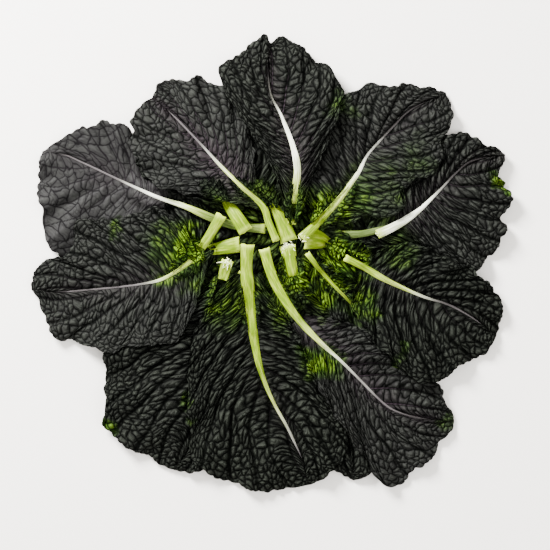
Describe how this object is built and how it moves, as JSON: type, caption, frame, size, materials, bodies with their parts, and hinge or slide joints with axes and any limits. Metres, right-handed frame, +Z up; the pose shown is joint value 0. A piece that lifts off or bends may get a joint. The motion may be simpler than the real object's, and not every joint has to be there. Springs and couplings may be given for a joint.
{
  "type": "red mustard greens",
  "caption": "Fan of loose, dark, puckered mustard leaves with pale midribs, overlapping each other, cut stalk ends to the middle.",
  "frame": {"origin": "on the surface the leaves lie on, under the middle of the fan's bounding box", "axes": "+Z up, away from the surface; +Y to the leaf that points up in the picture, +X to the right in it"},
  "size_m": [0.4581, 0.4344, 0.0253],
  "materials": {
    "stalk": "smooth, slightly shiny, fresh",
    "blade": "puckered, satin"
  },
  "bodies": {
    "root": {"middle_low_stalk": "stalk", "middle_low_blade": "blade", "east_low_stalk": "stalk", "east_low_blade": "blade", "south_west_low_stalk": "stalk", "south_west_low_blade": "blade", "west_inner_stalk": "stalk", "west_inner_blade": "blade", "south_inner_stalk": "stalk", "south_inner_blade": "blade", "south_east_inner_stalk": "stalk", "south_east_inner_blade": "blade", "east_inner_stalk": "stalk", "east_inner_blade": "blade", "south_west_stalk": "stalk", "south_west_blade": "blade", "east_stalk": "stalk", "east_blade": "blade", "west_north_west_stalk": "stalk", "west_north_west_blade": "blade", "north_west_inner_stalk": "stalk", "north_west_inner_blade": "blade", "north_inner_stalk": "stalk", "north_inner_blade": "blade", "south_stalk": "stalk", "south_blade": "blade", "north_west_stalk": "stalk", "north_west_blade": "blade", "north_east_stalk": "stalk", "north_east_blade": "blade", "south_east_stalk": "stalk", "south_east_blade": "blade", "west_stalk": "stalk", "west_blade": "blade", "north_stalk": "stalk", "north_blade": "blade", "east_south_east_stalk": "stalk", "east_south_east_blade": "blade"}
  },
  "joints": []
}
